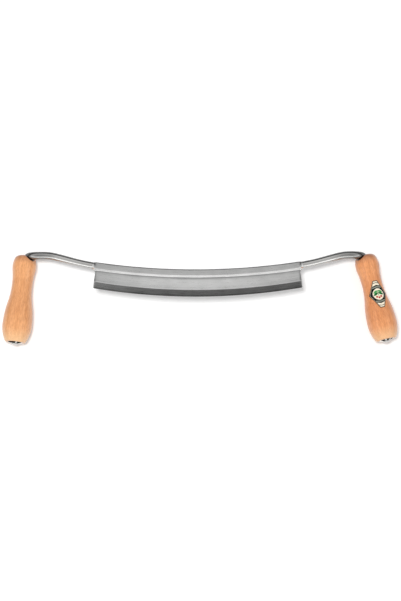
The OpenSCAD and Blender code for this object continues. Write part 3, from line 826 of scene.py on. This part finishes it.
# The label: a long hexagon of printed film that follows the handle's profile. Its print is a
# colour attribute, worked out from distance across and along the film.

label = {
    "length": 31.0, "width": 19.0, "endWidth": 5.0, "at": 47.0, "turn": 10.0, "thick": 0.2, "gap": 0.1,
    "rows": 200, "columns": 120, "blur": 0.16,
    "field": "#050a07", "cream": "#faeed6", "green": "#4f9d58", "deepGreen": "#246b38", "red": "#c0453a",
    "silver": "#8d9084", "brown": "#20160e",
    "rim": 0.5, "border": 0.72, "borderHalf": 0.08, "printInset": 1.0,
    # Chevrons and bands by their distance from the middle and half their width
    "chevrons": ((13.3, 2.7, "cream"), (13.2, 0.35, "brown")), "chevronLean": 0.3,
    "bandAt": 8.4, "bandHalf": 0.75, "bandReach": 4.8, "bandLean": 0.2,
    "oval": (11.8, 13.2), "stemAt": -0.6, "stemHalf": 0.3, "stemReach": 3.0,
    "leaves": ((-2.9, 5.6, "green"), (-0.4, 6.2, "deepGreen")),  # foot, length and colour of each pair
    "leafW": 2.5, "leafOut": 0.44, "leafWay": (0.9, 0.44),
    "berries": ((-2.3, 2.8), (0, 3.9), (2.3, 2.8)), "berryR": 1.15,
}


def almond(x, y, width, height):  # how deep a point is inside two crossing circles
    r = (width ** 2 + height ** 2) / (4 * width)
    return r - np.hypot(np.abs(x) + r - width / 2, y)


def labelWidth(y):  # across the film, at a distance along it from its middle
    l = label
    return l["endWidth"] + (l["width"] - l["endWidth"]) * (1 - np.abs(y) / (l["length"] / 2))


# Each shape is a depth, above 0 inside it, and a later one covers those before
def labelPrint(x, y):
    l = label
    art = np.broadcast_to(linearColour(l["field"]), (*x.shape, 4)).copy()

    def paint(depth, colour):  # lays a colour where the depth is above 0, with a soft edge
        mask = np.clip(depth / l["blur"] + 0.5, 0, 1)[..., None]
        art[:] = art * (1 - mask) + np.array(linearColour(colour)) * mask

    slope = math.atan2((l["width"] - l["endWidth"]) / 2, l["length"] / 2)
    inset = np.minimum((labelWidth(y) / 2 - np.abs(x)) * math.cos(slope), l["length"] / 2 - np.abs(y))
    paint(l["borderHalf"] - np.abs(inset - l["border"]), l["cream"])
    for at, half, colour in l["chevrons"]:
        off = np.abs(np.abs(y) + l["chevronLean"] * np.abs(x) - at)
        paint(np.minimum(half - off, inset - l["printInset"]), l[colour])
    off = np.abs(np.abs(y) + l["bandLean"] * np.abs(x) - l["bandAt"])
    paint(np.minimum(l["bandHalf"] - off, l["bandReach"] - np.abs(x)), l["silver"])
    paint(l["rim"] - inset, l["brown"])
    paint(almond(x, y, *l["oval"]), l["cream"])
    paint(np.minimum(l["stemHalf"] - np.abs(x), l["stemReach"] - np.abs(y - l["stemAt"])), l["green"])
    for lean in (-1, 1):
        for foot, long, colour in l["leaves"]:
            u, v, (c, s) = lean * x - l["leafOut"] * long, y - foot, l["leafWay"]
            paint(almond(v * c - u * s, u * c + v * s, l["leafW"], long), l[colour])
    for atX, atY in l["berries"]:
        paint(l["berryR"] - np.hypot(x - atX, y - atY), l["red"])
    return art


# A grid by distance along the handle and straight across it, laid on the profile grown by the gap,
# in two layers that a wall joins at the border
def makeLabel():
    l = label
    start, x, y, z = handleAxes("right")
    u = np.linspace(-0.5, 0.5, l["rows"])[:, None] * l["length"]
    v = np.linspace(-0.5, 0.5, l["columns"]) * labelWidth(u)
    outline = profilePoints(l["gap"])
    radius = np.interp(l["at"] + u, *outline.T)
    angle = np.arcsin(v / radius) + math.radians(l["turn"])
    away = spun(angle, x, -y)
    low = start + (l["at"] + u)[..., None] * z + radius[..., None] * away
    points = np.concatenate([low.reshape(-1, 3), (low + l["thick"] * away).reshape(-1, 3)])
    quads = gridFaces(l["rows"], l["columns"], closed=False).reshape(-1, 4)
    number = np.arange(l["rows"] * l["columns"]).reshape(l["rows"], l["columns"])
    border = np.concatenate([number[0, :-1], number[:-1, -1], number[-1, :0:-1], number[:0:-1, 0]])
    after = np.roll(border, -1)
    wall = np.stack([border, after, after + number.size, border + number.size], -1)
    faces = np.vstack([quads[:, ::-1], quads + number.size, wall]).tolist()
    piece = meshFrom("printedLabel", fromRight(points, "right"), faces)
    art = labelPrint(-v, np.broadcast_to(u, v.shape)).reshape(-1, 4)
    addAttribute(piece.data, "art", np.concatenate([art, art]), "FLOAT_COLOR")
    return piece


def filmMaterial():  # glossy printed film
    material, tree, shader = newMaterial(
        "printedFilm", label["field"], metallic=0.0, roughness=0.15, Specular_IOR_Level=0.15)
    art = addNode(tree, "Attribute", {".attribute_name": "art"})
    link(tree, shader, {"Base Color": art.outputs["Color"]})
    return material


print("forging")
dress(makeForging(), "blade", "steel", steelMaterial("groundCarbonSteel", steel["ground"]),
      steelMaterial("whettedBevelSteel", steel["bevel"]), steelMaterial("forgedBarSteel", steel["bar"]))

print("handles and caps")
nickel = nickelMaterial()
for side in ("left", "right"):
    dress(makeHandle(side), side + "_handle", "handle_wood", beechMaterial(side))
    dress(makeCap(side), side + "_end_cap", "cap_metal", nickel)

print("label")
dress(makeLabel(), "handle_label", "label", filmMaterial())


# Studio: a pale floor, one soft key nearly overhead, and a dome that fills evenly. Metal and film
# see the dome's own gradient, which is brightest halfway up.

studio = {  # lengths in metres
    "floorSize": 6.0, "floorColour": "#f4f4f4", "floorGlow": 0.18,
    "keyWay": (-0.09, 0.0, 0.99), "keyFar": 1.6, "keySize": 0.26, "keyPower": 15.5, "fill": 0.45,
    # Brightness of the dome's halves by height on it, and how far they blend
    "backSteps": ((0, 0.15), (0.3, 0.25), (0.42, 0.6), (0.5, 0.9), (0.62, 1.0), (0.77, 0.95), (0.9, 0.7),
                  (1, 0.5)),
    "frontSteps": ((0, 0.45), (0.25, 0.7), (0.42, 1.1), (0.55, 2.4), (0.66, 1.7), (0.78, 1.0), (1, 0.5)),
    "halfBlend": 0.25,
}


def seenRay(tree):  # 1 for a camera, glossy or transmission ray, and 0 for light on matt surfaces
    path = addNode(tree, "LightPath")
    two = addNode(tree, "Math", {".operation": "ADD"},
                  {0: path.outputs["Is Camera Ray"], 1: path.outputs["Is Glossy Ray"]})
    return addNode(tree, "Math", {".operation": "ADD", ".use_clamp": True},
                   {0: two, 1: path.outputs["Is Transmission Ray"]})


def placeMatrix(x, y, z, place):  # of an object whose own axes point these ways
    return Matrix([[*row, at] for row, at in zip(np.stack([x, y, z], 1), place)] + [[0, 0, 0, 1]])


def makeFloor():
    corners = np.array([[-1, -1, 0], [1, -1, 0], [1, 1, 0], [-1, 1, 0]]) * studio["floorSize"] / 2 / mm
    floor = meshFrom("paperFloor", corners, [[0, 1, 2, 3]])
    material, tree, shader = newMaterial("whitePaper", studio["floorColour"], metallic=0.0, roughness=0.9)
    shader.inputs["Emission Color"].default_value = (1, 1, 1, 1)
    glow = addNode(tree, "Math", {".operation": "MULTIPLY", 1: studio["floorGlow"]},
                   {0: seenRay(tree)})
    link(tree, shader, {"Emission Strength": glow})
    floor.data.materials.append(material)


def makeKey():
    data = bpy.data.lights.new("keySoftbox", "AREA")
    data.size, data.energy = studio["keySize"], studio["keyPower"]
    lamp = bpy.data.objects.new("keySoftbox", data)
    way = unit(studio["keyWay"])
    sideways = unit(np.cross([0, 1, 0], way))
    lamp.matrix_world = placeMatrix(sideways, np.cross(way, sideways), way, way * studio["keyFar"])
    lamp.visible_glossy = False
    scene.collection.objects.link(lamp)


def makeDome():
    world = bpy.data.worlds.new("studioDome")
    world.use_nodes = True
    tree = world.node_tree
    coords = addNode(tree, "TexCoord")
    way = addNode(tree, "SeparateXYZ", {}, {0: coords.outputs["Generated"]})
    blend = studio["halfBlend"]
    isBack = addNode(tree, "MapRange", {".interpolation_type": "SMOOTHSTEP", 1: -blend, 2: blend},
                     {0: way.outputs["Y"]})
    front, back = (addNode(tree, "FloatCurve", {"curve": studio[steps]}, {"Value": way.outputs["Z"]})
                   for steps in ("frontSteps", "backSteps"))
    level = addNode(tree, "Mix", {}, {0: isBack, 2: front, 3: back})
    strength = addNode(tree, "Mix", {2: studio["fill"]}, {0: seenRay(tree), 3: level})
    background = tree.nodes["Background"]
    background.inputs["Color"].default_value = (1, 1, 1, 1)
    link(tree, background, {"Strength": strength})
    scene.world = world


view = {  # lengths in metres
    "elevation": 83.0, "roll": -0.207, "distance": 1.4, "aim": (0.00083, -0.00259, 0.015),
    "focalPx": 1276.0, "longSidePx": 601, "sensor": 36.0,
}


def makeCamera():
    e, roll = math.radians(view["elevation"]), math.radians(view["roll"])
    back, up = np.array([0, -math.cos(e), math.sin(e)]), np.array([0, math.sin(e), math.cos(e)])
    sideways = np.array([1, 0, 0]) * math.cos(roll) + up * math.sin(roll)
    data = bpy.data.cameras.new("camera")
    data.sensor_width = view["sensor"]
    data.lens = view["focalPx"] / view["longSidePx"] * view["sensor"]
    camera = bpy.data.objects.new("camera", data)
    place = np.array(view["aim"]) + back * view["distance"]
    camera.matrix_world = placeMatrix(sideways, np.cross(back, sideways), back, place)
    scene.collection.objects.link(camera)
    scene.camera = camera


print("studio and camera")
makeFloor()
makeKey()
makeDome()
makeCamera()
scene.view_settings.view_transform = "Standard"
